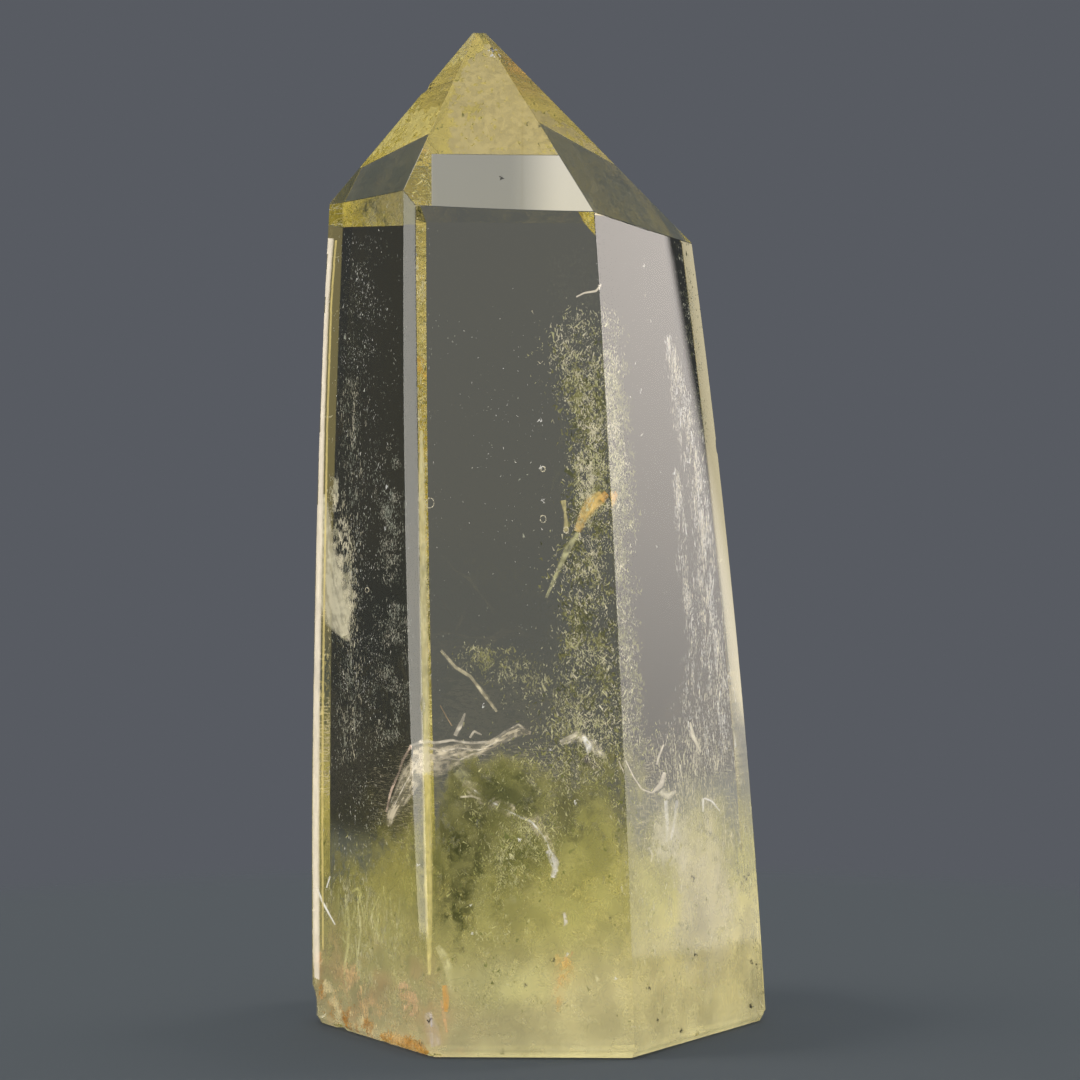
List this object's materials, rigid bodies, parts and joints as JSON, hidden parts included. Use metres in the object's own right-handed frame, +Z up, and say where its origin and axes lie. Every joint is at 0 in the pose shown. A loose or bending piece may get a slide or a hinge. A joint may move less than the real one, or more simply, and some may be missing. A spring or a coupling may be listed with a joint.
{
  "type": "crystal point",
  "caption": "Polished citrine quartz tower: a clear, tapering faceted prism with an off-centre point, a mossy clouded foot and a flat base that it stands on.",
  "frame": {"origin": "centre of the flat base's outline box, on the surface that the stone stands on", "axes": "+Z up along the prism to the point, -Y the front face, +X to the right seen from the front"},
  "size_m": [0.037, 0.0338, 0.0801],
  "materials": {
    "citrine": "polished, clear pale yellow, clouded towards the foot"
  },
  "bodies": {
    "root": {"crystal_point": "citrine"}
  },
  "joints": []
}
